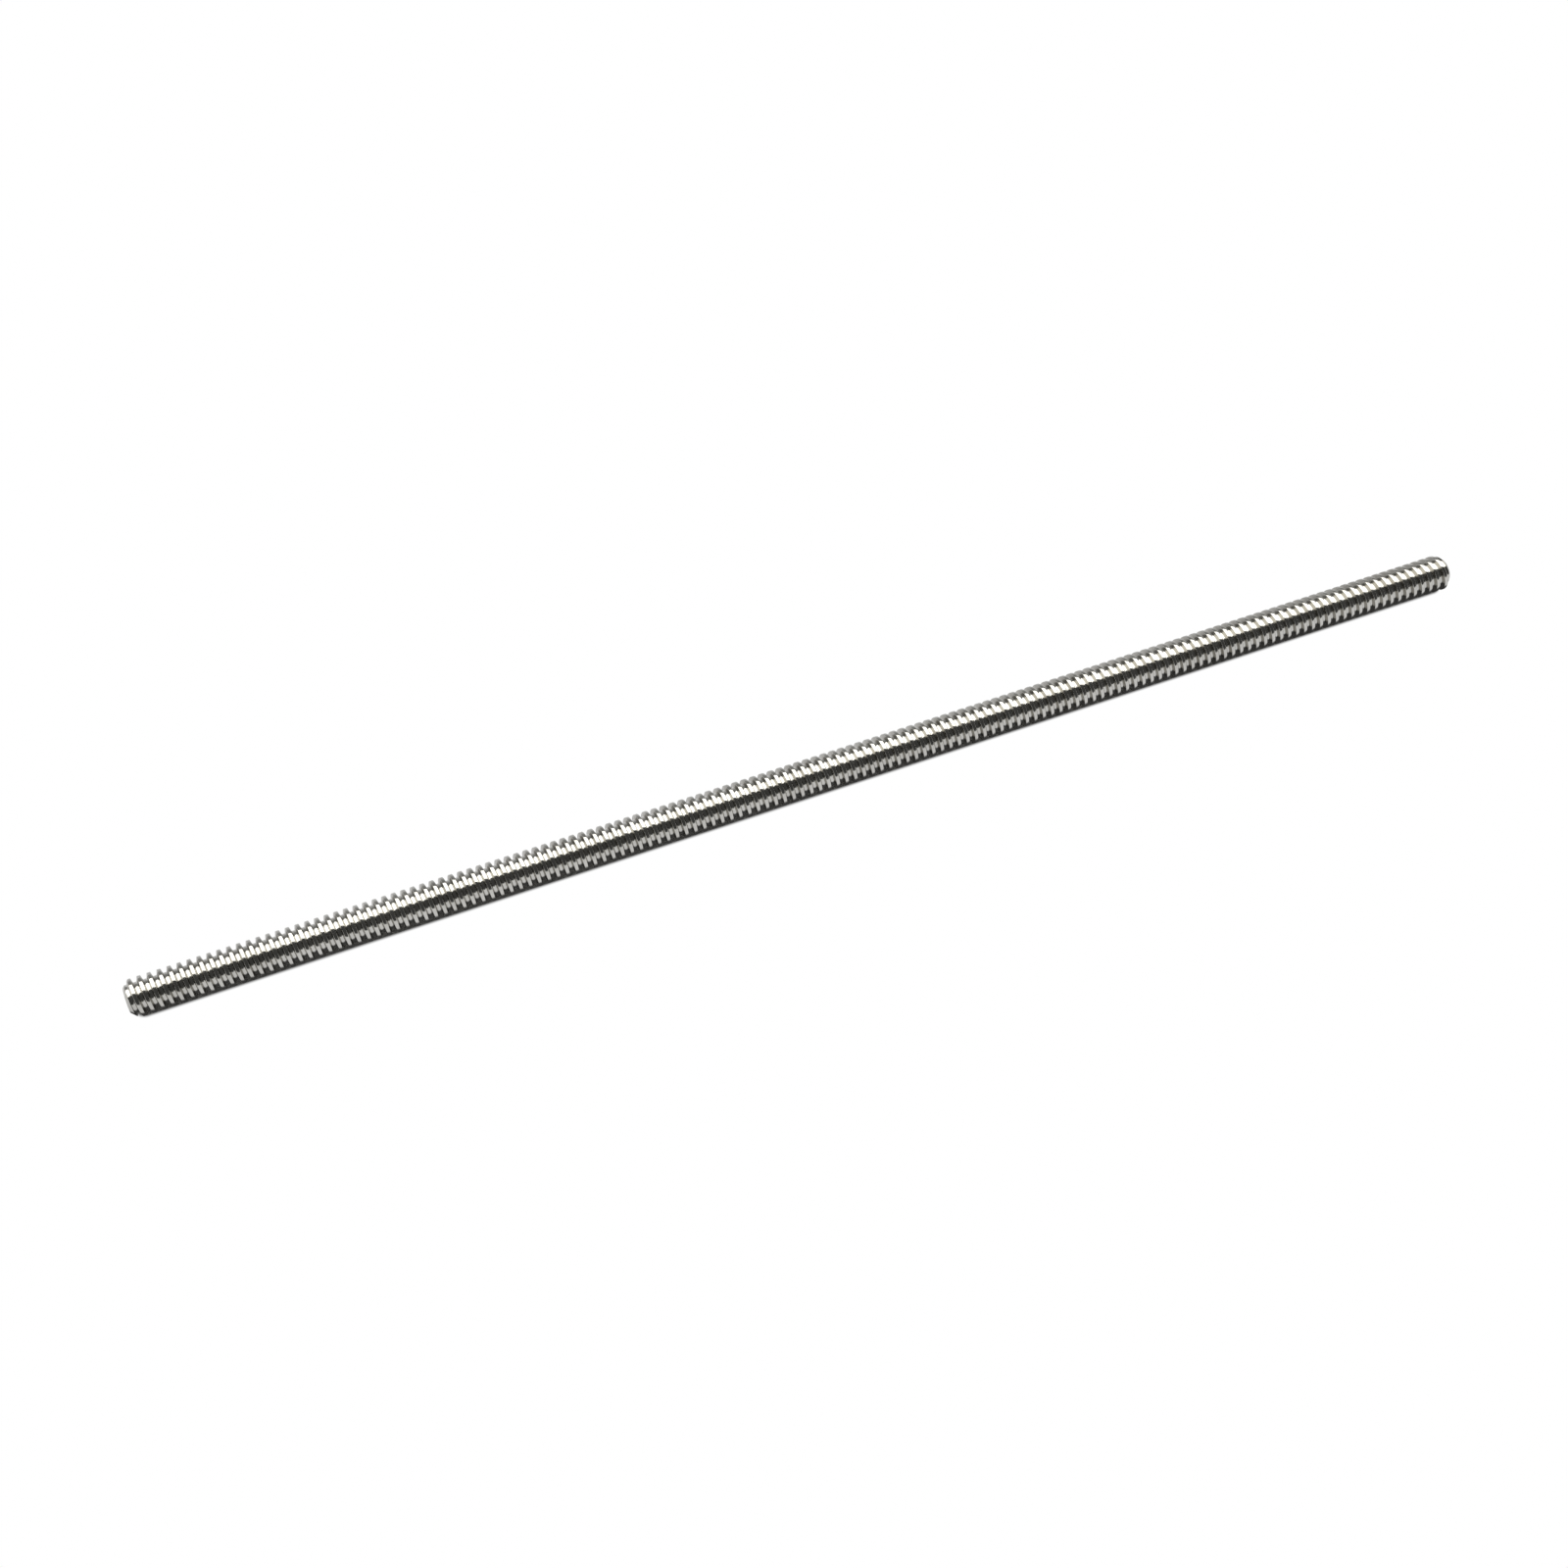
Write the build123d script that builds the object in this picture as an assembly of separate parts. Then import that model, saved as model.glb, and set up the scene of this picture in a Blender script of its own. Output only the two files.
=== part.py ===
from build123d import *
import os

# Trapezoidal lead screw: one steel rod, threaded over its whole length.
# The rod's axis is X. The origin is the centre of the drive end's face.

# Driving dimensions, in millimetres
crest_diameter = 8.0
length = 300.0
end_chamfer = 1.4


def lead_screw():
    """The rod over its thread crests, with a 45 degree lead-in at each end."""
    rod = extrude(Plane.YZ * Circle(crest_diameter / 2), length)
    rims = rod.edges().filter_by(GeomType.CIRCLE)
    return chamfer(rims, end_chamfer)


os.makedirs("parts", exist_ok=True)
export_step(lead_screw(), "parts/lead_screw.step")
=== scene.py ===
import bpy
from math import atan, cos, pi, radians, sin, tan
from mathutils import Matrix, Vector


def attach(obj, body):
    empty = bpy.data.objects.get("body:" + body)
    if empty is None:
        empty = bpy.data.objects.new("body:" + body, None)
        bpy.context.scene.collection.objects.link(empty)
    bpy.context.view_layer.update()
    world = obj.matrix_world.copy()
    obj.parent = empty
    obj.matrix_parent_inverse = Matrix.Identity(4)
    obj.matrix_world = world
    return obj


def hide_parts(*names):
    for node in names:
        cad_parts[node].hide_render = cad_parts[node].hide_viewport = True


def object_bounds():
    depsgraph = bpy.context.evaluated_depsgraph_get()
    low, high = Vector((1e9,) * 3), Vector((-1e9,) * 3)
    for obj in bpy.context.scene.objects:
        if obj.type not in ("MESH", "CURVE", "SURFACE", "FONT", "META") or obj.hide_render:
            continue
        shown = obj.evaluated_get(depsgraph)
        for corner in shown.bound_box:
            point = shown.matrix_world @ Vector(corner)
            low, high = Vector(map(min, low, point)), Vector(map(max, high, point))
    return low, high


# Trapezoidal lead screw, in metres. The rod lies along X, with its drive end's face at the origin.

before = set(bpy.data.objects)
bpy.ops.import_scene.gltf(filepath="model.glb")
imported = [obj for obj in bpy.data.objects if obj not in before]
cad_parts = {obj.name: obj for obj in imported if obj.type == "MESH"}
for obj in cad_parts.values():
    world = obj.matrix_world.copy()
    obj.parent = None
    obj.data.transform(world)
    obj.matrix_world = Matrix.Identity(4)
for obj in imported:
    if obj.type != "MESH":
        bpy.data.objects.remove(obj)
cadLow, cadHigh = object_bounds()
rodLength = cadHigh.x
crestRadius = cadHigh.y
print("frame loaded, rod length and crest radius:", rodLength, crestRadius)


# small helpers for selecting, for modifiers and for shader nodes

def deselectAll():
    bpy.ops.object.select_all(action="DESELECT")


def makeActive(obj):
    deselectAll()
    obj.select_set(True)
    bpy.context.view_layer.objects.active = obj


def pickOnly(mesh, kind, test):
    # kind is vertices, edges or polygons; edit mode is set to it, or it would pick their neighbours too
    kinds = ("vertices", "edges", "polygons")
    bpy.context.tool_settings.mesh_select_mode = [kind == name for name in kinds]
    for name in kinds:
        every = getattr(mesh, name)
        every.foreach_set("select", [False] * len(every))
    for part in getattr(mesh, kind):
        part.select = test(part)


def applyModifier(obj, kind, **settings):
    makeActive(obj)
    bpy.ops.object.modifier_add(type=kind)
    modifier = obj.modifiers[-1]
    for name, value in settings.items():
        setattr(modifier, name, value)
    bpy.ops.object.modifier_apply(modifier=modifier.name)


def addNode(tree, kind, **settings):
    node = tree.nodes.new(kind)
    for name, value in settings.items():
        setattr(node, name, value)
    return node


def feed(tree, socket, value):
    # a value is either another node's socket or a plain number or colour
    if isinstance(value, bpy.types.NodeSocket):
        tree.links.new(value, socket)
    else:
        socket.default_value = value


def addMath(tree, operation, *values, clamp=False):
    node = addNode(tree, "ShaderNodeMath", operation=operation, use_clamp=clamp)
    for socket, value in zip(node.inputs, values):
        feed(tree, socket, value)
    return node.outputs[0]


def addRange(tree, value, low, high, toLow=0.0, toHigh=1.0, smooth=False):
    node = addNode(tree, "ShaderNodeMapRange", interpolation_type="SMOOTHSTEP" if smooth else "LINEAR")
    for name, given in (("Value", value), ("From Min", low), ("From Max", high),
                        ("To Min", toLow), ("To Max", toHigh)):
        feed(tree, node.inputs[name], given)
    return node.outputs["Result"]


def addEdge(tree, value, place, blur, **settings):
    return addRange(tree, value, place - blur, place + blur, **settings)


def addColorMix(tree, factor, first, second):
    # a colour Mix node keeps its colour sockets after those for numbers and vectors
    node = addNode(tree, "ShaderNodeMix", data_type="RGBA")
    for place, value in ((0, factor), (6, first), (7, second)):
        feed(tree, node.inputs[place], value)
    return node.outputs[2]


def addShaderMix(tree, factor, first, second):
    node = addNode(tree, "ShaderNodeMixShader")
    for socket, value in zip(node.inputs, (factor, first, second)):
        feed(tree, socket, value)
    return node.outputs["Shader"]


def addNoise(tree, vector, scale, detail, roughness=0.5, turn=None):
    node = addNode(tree, "ShaderNodeTexNoise", noise_dimensions="3D" if turn is None else "4D")
    for name, value in (("Vector", vector), ("Scale", scale), ("Detail", detail), ("Roughness", roughness)):
        feed(tree, node.inputs[name], value)
    if turn is not None:
        feed(tree, node.inputs["W"], turn)
    return node.outputs["Fac"]


threadSizes = {
    "pitch": 0.002,              # one start, so this is the lead too
    "depth": 0.001,
    "flankAngle": radians(15),   # each side leans by half of the 30 degree form
    "crestShare": 0.366,         # crest width in pitches
    "edgeRound": 0.00008,
    "crestSegments": 2,          # the crest's corners are rounded more finely than the root's
    "rootSegments": 1,
    "startShift": -0.00117,      # slides the whole thread along the rod
    "stepsPerTurn": 48,
    "spareTurns": 2,             # beyond each end, trimmed off by the blank
    "mergeGap": 0.000002,
}


def sectionWidths(sizes):
    # along the rod, of one flank, of the crest and of half the root
    flank = sizes["depth"] * tan(sizes["flankAngle"])
    crest = sizes["pitch"] * sizes["crestShare"]
    return flank, crest, (sizes["pitch"] - crest - 2 * flank) / 2


def buildThread(sizes):
    pitch, depth = sizes["pitch"], sizes["depth"]
    flank, crest, halfRoot = sectionWidths(sizes)
    rootRadius = crestRadius - depth
    startX = sizes["startShift"] - sizes["spareTurns"] * pitch

    # one pitch of the section, from mid root to mid root, drawn by extruding a point
    bpy.ops.mesh.primitive_plane_add(size=pitch, location=(startX, 0, rootRadius))
    thread = bpy.context.object
    thread.name = "lead_screw_threaded"
    bpy.ops.object.transform_apply(location=True)
    bpy.ops.object.mode_set(mode="EDIT")
    bpy.ops.mesh.select_mode(type="VERT")
    bpy.ops.mesh.merge(type="CENTER")
    for along, out in ((halfRoot, 0), (flank, depth), (crest, 0), (flank, -depth), (halfRoot, 0)):
        bpy.ops.mesh.extrude_region_move(TRANSFORM_OT_translate={"value": (along, 0, out)})
    bpy.ops.object.mode_set(mode="OBJECT")

    # the corners are rounded, but not the section's two ends at mid root
    for radius, segments in ((crestRadius, sizes["crestSegments"]), (rootRadius, sizes["rootSegments"])):
        pickOnly(thread.data, "vertices", lambda vert: (
            abs(vert.co.z - radius) < sizes["edgeRound"] / 2
            and abs(vert.co.x - startX - pitch / 2) < pitch / 2 - halfRoot / 2))
        bpy.ops.object.mode_set(mode="EDIT")
        bpy.ops.mesh.bevel(offset=sizes["edgeRound"], segments=segments, affect="VERTICES")
        bpy.ops.object.mode_set(mode="OBJECT")
    print("section points:", len(thread.data.vertices))

    turns = round(rodLength / pitch) + 2 * sizes["spareTurns"]
    applyModifier(thread, "SCREW", axis="X", angle=2 * pi, screw_offset=pitch, iterations=turns,
                  steps=sizes["stepsPerTurn"], render_steps=sizes["stepsPerTurn"])
    bpy.ops.object.mode_set(mode="EDIT")
    bpy.ops.mesh.select_all(action="SELECT")
    bpy.ops.mesh.remove_doubles(threshold=sizes["mergeGap"])
    bpy.ops.mesh.normals_make_consistent(inside=False)
    bpy.ops.mesh.fill_holes(sides=0)
    bpy.ops.object.mode_set(mode="OBJECT")
    return thread


blankSizes = {
    "endChamfer": 0.0014,        # lead-in at both ends
    "clearance": 0.0003,         # the blank stands this far off the crests
    "sides": 96,
    "faceGap": 0.000002,         # a point this near an end's face is on it
    "coneGap": 0.00001,          # and this near the chamfer's cone
}


def buildBlank(sizes):
    radius = crestRadius + sizes["clearance"]
    bpy.ops.mesh.primitive_cylinder_add(vertices=sizes["sides"], radius=radius, depth=rodLength,
                                        location=(rodLength / 2, 0, 0), rotation=(0, pi / 2, 0))
    blank = bpy.context.object
    blank.name = "blank"
    bpy.ops.object.transform_apply(location=True, rotation=True)
    verts = blank.data.vertices
    pickOnly(blank.data, "edges", lambda edge: (
        abs(verts[edge.vertices[0]].co.x - verts[edge.vertices[1]].co.x) < rodLength / 2))
    bpy.ops.object.mode_set(mode="EDIT")
    bpy.ops.mesh.bevel(offset=sizes["endChamfer"] + sizes["clearance"], segments=1, affect="EDGES")
    bpy.ops.object.mode_set(mode="OBJECT")
    return blank


def isFaced(face, mesh, sizes):
    # the flat end, or the cone of the chamfer, which cuts across the thread
    for index in face.vertices:
        spot = mesh.vertices[index].co
        fromEnd = min(spot.x, rodLength - spot.x)
        coneRadius = crestRadius - sizes["endChamfer"] + fromEnd
        onCone = abs(Vector((spot.y, spot.z)).length - coneRadius) < sizes["coneGap"]
        if fromEnd > sizes["faceGap"] and not onCone:
            return False
    return True


shading = {
    "smoothAngle": radians(40),
    "faceWeight": 80,            # large faces set the shading at their edges, small ones follow
}

deselectAll()
rod = buildThread(threadSizes)
print("thread turned, faces:", len(rod.data.polygons))
deselectAll()
blank = buildBlank(blankSizes)
applyModifier(rod, "BOOLEAN", operation="INTERSECT", solver="MANIFOLD", object=blank)
bpy.data.objects.remove(blank)
print("ends chamfered, faces:", len(rod.data.polygons))
makeActive(rod)
bpy.ops.object.shade_smooth_by_angle(angle=shading["smoothAngle"])

# the cut of the chamfer stays crisp where it meets the flanks at a shallow angle
pickOnly(rod.data, "polygons", lambda face: isFaced(face, rod.data, blankSizes))
facedFaces = [face.index for face in rod.data.polygons if face.select]
bpy.ops.object.mode_set(mode="EDIT")
bpy.ops.mesh.region_to_loop()
bpy.ops.mesh.mark_sharp()
bpy.ops.object.mode_set(mode="OBJECT")
applyModifier(rod, "WEIGHTED_NORMAL", weight=shading["faceWeight"], keep_sharp=True)
rod.data.calc_loop_triangles()
print("rod finished, triangles:", len(rod.data.loop_triangles))

skinLook = {
    "markLength": 3.0,           # how many marks follow each other round the rod
    "markDetail": 3.0,
    "markRoughness": 0.6,
    "markRange": (0.3, 0.7),     # the part of the noise that the marks spread over
    "markShare": 0.35,           # how much the marks, the stains and the pits dull the steel
    "stainScale": 130,           # stains about 8 mm across
    "stainDetail": 3.0,
    "stainRange": (0.38, 0.68),
    "stainShare": 0.25,
    "pitScale": 5200,            # pits about 0.2 mm across
    "pitDetail": 1.0,
    "pitRange": (0.66, 0.76),
    "pitShare": 0.35,
    "pitDepth": 0.5,             # against the height of the marks
    "roughnessSpread": 0.07,
}
threadLook = {
    "cleanColor": (0.8, 0.79, 0.76, 1),
    "dullColor": (0.4, 0.385, 0.35, 1),
    "roughness": 0.13,
    "markWidth": 0.00009,
    "driftLength": 0.025,        # the marks change slowly from turn to turn
    "flankDullness": 0.58,       # rolled flanks stay duller than the crests
    "rootDullness": 0.04,
    "flankMargin": 0.00004,      # the dulling starts this far from the crest and from the root
    "flankFade": 0.00008,
    "bumpDepth": 0.000002,
    "bumpStrength": 0.6,
}
facedLook = {
    "cleanColor": (0.76, 0.75, 0.72, 1),
    "dullColor": (0.42, 0.41, 0.38, 1),
    "roughness": 0.2,
    "markWidth": 0.00012,
    "driftLength": 0.01,
    "bumpDepth": 0.000006,
    "bumpStrength": 0.7,
}


def buildSteelSkin(look):
    # tool marks, stains and pits, for the thread and for the faced ends
    group = bpy.data.node_groups.new("steelSkin", "ShaderNodeTree")
    for name, kind in (("Position", "Vector"), ("Across", "Float"), ("Drift", "Float"), ("Turn", "Float"),
                       ("Clean Color", "Color"), ("Dull Color", "Color"), ("Dullness", "Float"),
                       ("Roughness", "Float")):
        group.interface.new_socket(name=name, in_out="INPUT", socket_type="NodeSocket" + kind)
    for name, kind in (("Color", "Color"), ("Roughness", "Float"), ("Height", "Float")):
        group.interface.new_socket(name=name, in_out="OUTPUT", socket_type="NodeSocket" + kind)
    given = addNode(group, "NodeGroupInput").outputs

    # cosine and sine of the turn close the marks on themselves round the rod
    around = addMath(group, "MULTIPLY", addMath(group, "COSINE", given["Turn"]), look["markLength"])
    aside = addMath(group, "MULTIPLY", addMath(group, "SINE", given["Turn"]), look["markLength"])
    trackPlace = addNode(group, "ShaderNodeCombineXYZ")
    for name, value in (("X", given["Across"]), ("Y", given["Drift"]), ("Z", around)):
        feed(group, trackPlace.inputs[name], value)
    marks = addNoise(group, trackPlace.outputs["Vector"], 1.0, look["markDetail"],
                     look["markRoughness"], turn=aside)
    marks = addRange(group, marks, *look["markRange"])
    stains = addNoise(group, given["Position"], look["stainScale"], look["stainDetail"])
    stains = addRange(group, stains, *look["stainRange"])
    pits = addNoise(group, given["Position"], look["pitScale"], look["pitDetail"])
    pits = addRange(group, pits, *look["pitRange"])

    # the marks dull and brighten the steel by the same amount
    eitherWay = addMath(group, "SUBTRACT", marks, 0.5)
    dullness = addMath(group, "MULTIPLY_ADD", stains, look["stainShare"], given["Dullness"])
    dullness = addMath(group, "MULTIPLY_ADD", eitherWay, look["markShare"], dullness)
    dullness = addMath(group, "MULTIPLY_ADD", pits, look["pitShare"], dullness, clamp=True)
    color = addColorMix(group, dullness, given["Clean Color"], given["Dull Color"])
    roughness = addMath(group, "MULTIPLY_ADD", dullness, look["roughnessSpread"], given["Roughness"])
    height = addMath(group, "SUBTRACT", marks, addMath(group, "MULTIPLY", pits, look["pitDepth"]))
    results = addNode(group, "NodeGroupOutput").inputs
    for name, value in (("Color", color), ("Roughness", roughness), ("Height", height)):
        feed(group, results[name], value)
    return group


def buildSteel(materialName, look, skinGroup, addTrack):
    # addTrack gives the coordinate across the marks and how dull the surface is
    material = bpy.data.materials.new(materialName)
    material.use_nodes = True
    tree = material.node_tree
    position = addNode(tree, "ShaderNodeTexCoord").outputs["Object"]
    place = addNode(tree, "ShaderNodeSeparateXYZ")
    feed(tree, place.inputs["Vector"], position)
    along, side, up = place.outputs
    upSquared = addMath(tree, "MULTIPLY", up, up)
    radius = addMath(tree, "SQRT", addMath(tree, "MULTIPLY_ADD", side, side, upSquared))
    turn = addMath(tree, "ARCTAN2", up, side)
    track, dullness = addTrack(tree, along, radius, turn)

    skin = addNode(tree, "ShaderNodeGroup", node_tree=skinGroup)
    for name, value in (("Position", position), ("Turn", turn), ("Dullness", dullness),
                        ("Across", addMath(tree, "DIVIDE", track, look["markWidth"])),
                        ("Drift", addMath(tree, "DIVIDE", along, look["driftLength"])),
                        ("Clean Color", look["cleanColor"]), ("Dull Color", look["dullColor"]),
                        ("Roughness", look["roughness"])):
        feed(tree, skin.inputs[name], value)
    bump = addNode(tree, "ShaderNodeBump")
    for name, value in (("Strength", look["bumpStrength"]), ("Distance", look["bumpDepth"]),
                        ("Height", skin.outputs["Height"])):
        feed(tree, bump.inputs[name], value)
    shader = tree.nodes["Principled BSDF"]
    for name, value in (("Metallic", 1.0), ("Base Color", skin.outputs["Color"]),
                        ("Roughness", skin.outputs["Roughness"]), ("Normal", bump.outputs["Normal"])):
        feed(tree, shader.inputs[name], value)
    return material


def addThreadTrack(tree, along, radius, turn):
    # how far along and out a spot is, in metres from the corner where the root begins
    pitch = threadSizes["pitch"]
    halfRoot = sectionWidths(threadSizes)[2]
    quarterTurn = 0.25           # the section was drawn above the axis, and turns count from its side
    start = (threadSizes["startShift"] - halfRoot) / pitch - quarterTurn
    turns = addMath(tree, "MULTIPLY_ADD", turn, -1 / (2 * pi), addMath(tree, "DIVIDE", along, pitch))
    phase = addMath(tree, "FRACT", addMath(tree, "SUBTRACT", turns, start))
    track = addMath(tree, "MULTIPLY_ADD", phase, pitch, radius)

    # the flanks are dull, the root hardly, the crest not at all
    margin, fade = threadLook["flankMargin"], threadLook["flankFade"]
    rootRadius = crestRadius - threadSizes["depth"]
    belowCrest = addRange(tree, radius, crestRadius - margin - fade, crestRadius - margin, 1, 0)
    aboveRoot = addRange(tree, radius, rootRadius + margin, rootRadius + margin + fade,
                         threadLook["rootDullness"], threadLook["flankDullness"])
    return track, addMath(tree, "MULTIPLY", belowCrest, aboveRoot)


def addFacedTrack(tree, along, radius, turn):
    # rings about the axis
    return radius, 0.0


steelSkin = buildSteelSkin(skinLook)
rod.data.materials.clear()
rod.data.materials.append(buildSteel("threadSteel", threadLook, steelSkin, addThreadTrack))
rod.data.materials.append(buildSteel("facedSteel", facedLook, steelSkin, addFacedTrack))
for index in facedFaces:
    rod.data.polygons[index].material_index = 1
print("faces on the faced ends:", len(facedFaces))
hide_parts("lead_screw")
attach(rod, "root")
print("steel ready")

tableLook = {
    "size": 6.0,
    "color": (0.82, 0.82, 0.82, 1),
    "mottleColor": (0.77, 0.77, 0.77, 1),
    "mottleScale": 400,
    "mottleDetail": 3.0,
    "roughness": 0.9,
    "shadeHalfWidth": 0.002,     # the shade under the rod shows this far to each side,
    "shadeFade": 0.0009,         # then fades to white over this
    "white": 1.0,
    "paintedShadow": 0.05,       # what the steel mirrors of the table, all a painted glow: the rod's painted shadow,
    "paintedLightFront": 0.66,       # painted light on the open table in front of it,
    "paintedLightBehind": 0.72,      # brighter painted light on the table close behind, where the lamp falls first,
    "paintedLightFar": 0.47,         # and dimmer painted light on the table far behind
    "frontNear": 0.0055,         # in front the painted shadow ends between these two
    "frontFar": 0.0085,
    "behindNear": 0.003,         # behind the painted shadow ends here, and the painted light is brightest
    "behindLit": 0.006,          # until here,
    "behindFar": 0.03,           # then the painted light dims until here
    "endNear": 0.0015,           # past the rod's ends the painted shadow stops sooner by this
}


def buildTableMaterial(look):
    material = bpy.data.materials.new("paleTable")
    material.use_nodes = True
    tree = material.node_tree
    position = addNode(tree, "ShaderNodeTexCoord").outputs["Object"]
    mottle = addNoise(tree, position, look["mottleScale"], look["mottleDetail"])
    paint = tree.nodes["Principled BSDF"]
    feed(tree, paint.inputs["Base Color"], addColorMix(tree, mottle, look["color"], look["mottleColor"]))
    feed(tree, paint.inputs["Roughness"], look["roughness"])

    # clear is 0 in the shade along the rod's line and 1 away from it
    place = addNode(tree, "ShaderNodeSeparateXYZ")
    feed(tree, place.inputs["Vector"], position)
    along, side = place.outputs["X"], place.outputs["Y"]
    fromLine = addMath(tree, "ABSOLUTE", side)
    fromMiddle = addMath(tree, "ABSOLUTE", addMath(tree, "SUBTRACT", along, rodLength / 2))
    shadeWidth = look["shadeHalfWidth"] + look["shadeFade"]
    beyond = addMath(tree, "SUBTRACT", fromMiddle, rodLength / 2 - shadeWidth)
    beyondEnd = addMath(tree, "MAXIMUM", beyond, 0)
    endSquared = addMath(tree, "MULTIPLY", beyondEnd, beyondEnd)
    away = addMath(tree, "SQRT", addMath(tree, "MULTIPLY_ADD", fromLine, fromLine, endSquared))
    clear = addRange(tree, away, look["shadeHalfWidth"], shadeWidth, smooth=True)

    # the camera sees a white table with the rod's rendered shade under it, the steel sees a table that
    # glows with painted shadow near the rod and painted light further off
    pastEnd = addMath(tree, "ADD", beyond, look["endNear"])
    outside = addMath(tree, "MAXIMUM", addMath(tree, "MULTIPLY", side, -1), pastEnd)
    front = addRange(tree, outside, look["frontNear"], look["frontFar"],
                     look["paintedShadow"], look["paintedLightFront"], smooth=True)
    nearBehind = addRange(tree, side, 0, look["behindNear"], smooth=True)
    farBehind = addRange(tree, side, look["behindLit"], look["behindFar"],
                         look["paintedLightBehind"], look["paintedLightFar"], smooth=True)
    behind = addMath(tree, "MULTIPLY", nearBehind, farBehind)
    white = addNode(tree, "ShaderNodeEmission")
    feed(tree, white.inputs["Strength"], look["white"])
    # the table glows for the steel with this painted shadow and painted light, though it is no lamp
    paintedGlow = addNode(tree, "ShaderNodeEmission")
    feed(tree, paintedGlow.inputs["Strength"], addMath(tree, "MAXIMUM", front, behind))

    path = addNode(tree, "ShaderNodeLightPath").outputs
    seen = addMath(tree, "MULTIPLY", path["Is Camera Ray"], clear)
    mirroring = addMath(tree, "MAXIMUM", path["Is Glossy Ray"], path["Is Transmission Ray"])
    forCamera = addShaderMix(tree, seen, paint.outputs["BSDF"], white.outputs["Emission"])
    forSteel = addShaderMix(tree, addMath(tree, "MULTIPLY", mirroring, clear),
                            forCamera, paintedGlow.outputs["Emission"])
    feed(tree, tree.nodes["Material Output"].inputs["Surface"], forSteel)
    return material


deselectAll()
bpy.ops.mesh.primitive_plane_add(size=tableLook["size"], location=(0, 0, -crestRadius))
table = bpy.context.object
table.name = "table"
bpy.ops.object.transform_apply(location=True)
table.data.materials.append(buildTableMaterial(tableLook))
print("table ready")

# tops and starts of the room's parts are measured on a ball of radius 1 around the rod
roomLook = {
    "dadoColor": (0.68, 0.68, 0.665, 1),     # a pale band round the room, low down
    "dadoTop": sin(radians(10)),
    "ceilingColor": (0.046, 0.046, 0.044, 1),
    "backLowColor": (0.32, 0.32, 0.31, 1),   # the wall behind the rod, paler low down
    "backHighColor": (0.13, 0.13, 0.127, 1),
    "backHigh": sin(radians(35)),
    "backFrom": 0.35,
    "backBlur": 0.1,
    "cardColor": (0.95, 0.95, 0.93, 1),      # a white card behind the drive end
    "cardFrom": 0.62,
    "cardTop": sin(radians(25)),
    "edgeBlur": 0.05,
    "seenColor": (1, 1, 1, 1),               # what the camera sees past the table
}


def buildRoom(look):
    room = bpy.data.worlds.new("room")
    room.use_nodes = True
    tree = room.node_tree
    way = addNode(tree, "ShaderNodeSeparateXYZ")
    feed(tree, way.inputs["Vector"], addNode(tree, "ShaderNodeTexCoord").outputs["Generated"])
    right, back, up = way.outputs
    blur = look["edgeBlur"]
    isCeiling = addEdge(tree, up, look["dadoTop"], blur, smooth=True)
    isBack = addEdge(tree, back, look["backFrom"], look["backBlur"], smooth=True)
    walls = addColorMix(tree, isCeiling, look["dadoColor"], look["ceilingColor"])
    height = addRange(tree, up, 0, look["backHigh"])
    backWall = addColorMix(tree, height, look["backLowColor"], look["backHighColor"])
    paint = addColorMix(tree, isBack, walls, backWall)
    atLeft = addEdge(tree, right, -look["cardFrom"], blur, toLow=1, toHigh=0)
    isLow = addEdge(tree, up, look["cardTop"], blur, toLow=1, toHigh=0)
    isCard = addMath(tree, "MULTIPLY", addMath(tree, "MULTIPLY", atLeft, isLow), isBack)
    paint = addColorMix(tree, isCard, paint, look["cardColor"])
    seen = addNode(tree, "ShaderNodeLightPath").outputs["Is Camera Ray"]
    feed(tree, tree.nodes["Background"].inputs["Color"], addColorMix(tree, seen, paint, look["seenColor"]))
    return room


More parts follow.
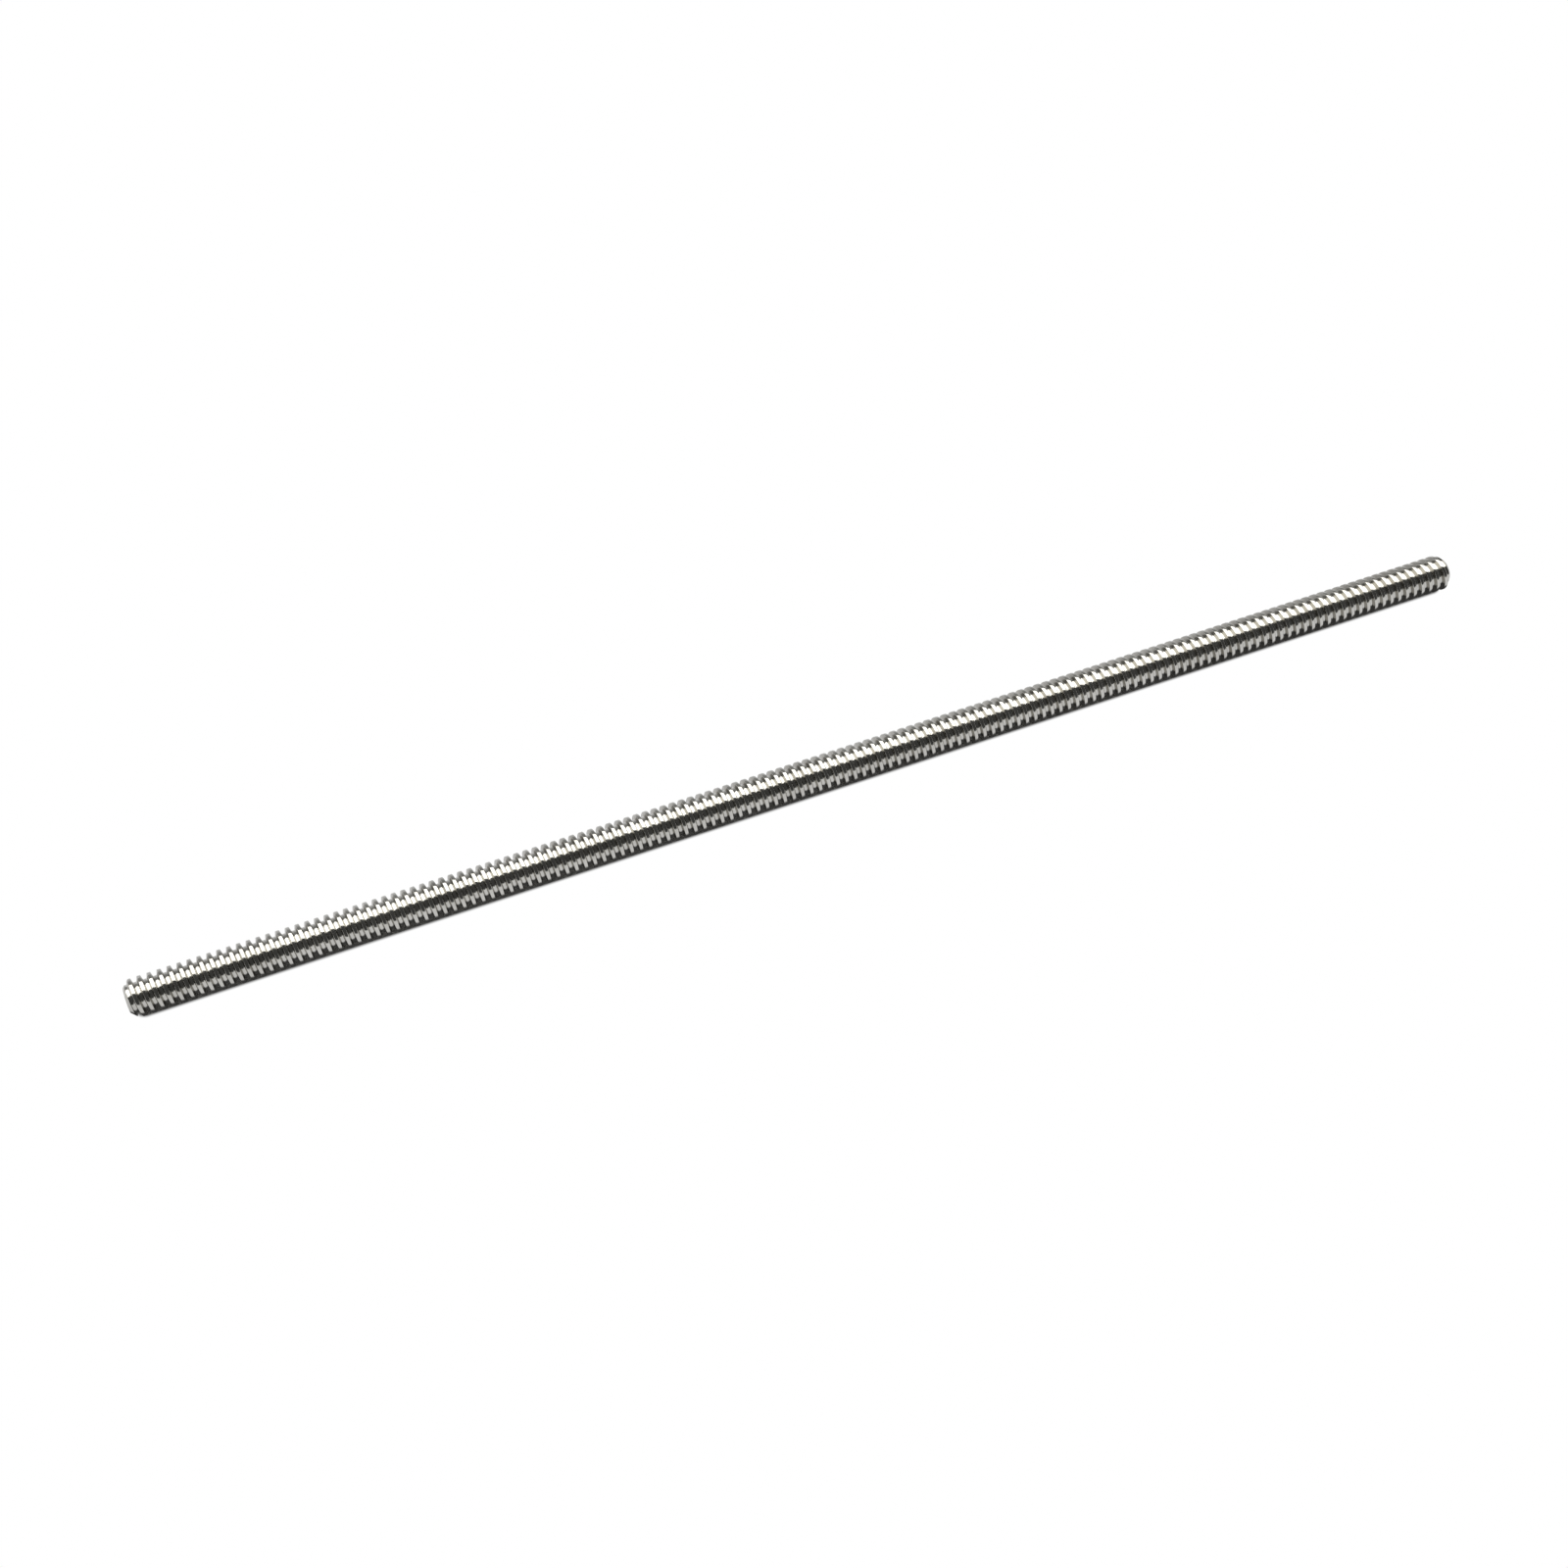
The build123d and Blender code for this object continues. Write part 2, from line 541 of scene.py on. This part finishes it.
bpy.context.scene.world = buildRoom(roomLook)

softbox = {
    "width": 2.6,
    "depth": 1.084,
    "place": (0.15, 0.359, 0.897),
    "aim": (0.15, 0, 0),
    "color": (1.0, 0.985, 0.93),
    "power": 17.3,
}
bpy.ops.object.light_add(type="AREA", location=softbox["place"])
lamp = bpy.context.object
lamp.name = "softbox"
lamp.data.shape = "RECTANGLE"
lamp.data.size = softbox["width"]
lamp.data.size_y = softbox["depth"]
lamp.data.energy = softbox["power"]
lamp.data.color = softbox["color"]
lamp.rotation_mode = "QUATERNION"
lamp.rotation_quaternion = (Vector(softbox["aim"]) - lamp.location).to_track_quat("-Z", "Y")
print("room and light ready")

# the camera stands above the table and looks down on the rod
shot = {
    "frameWidth": 1600,
    "focal": 2276,                  # in pixels of that frame
    "elevation": radians(54.6),
    "rodTurn": radians(18.074),     # the rod's slope in the picture
    "scale": 4847,                  # pixels per metre at the target
    "targetX": 0.1395,
    "targetDown": 1.95,             # pixels from the picture's middle to the target
    "sensorWidth": 36,              # in millimetres
    "clipStart": 0.01,
}


def buildCamera(sizes):
    elevation, turn, focal = sizes["elevation"], sizes["rodTurn"], sizes["focal"]
    recede = atan(sin(turn) / tan(elevation))
    # rows are the world's axes in the camera's right, up and back
    rodAxis = Vector((cos(recede) * cos(turn), cos(recede) * sin(turn), -sin(recede)))
    upAxis = Vector((0, cos(elevation), sin(elevation)))
    toWorld = Matrix((rodAxis, upAxis.cross(rodAxis), upAxis))
    place = Vector((sizes["targetX"], 0, 0))
    place += toWorld @ Vector((0, sizes["targetDown"], focal)) / sizes["scale"]
    bpy.ops.object.camera_add()
    camera = bpy.context.object
    camera.matrix_world = Matrix.Translation(place) @ toWorld.to_4x4()
    camera.data.sensor_width = sizes["sensorWidth"]
    camera.data.lens = sizes["sensorWidth"] * focal / sizes["frameWidth"]
    camera.data.clip_start = sizes["clipStart"]
    return camera


bpy.context.scene.camera = buildCamera(shot)
bpy.context.scene.view_settings.view_transform = "Standard"
print("camera ready")
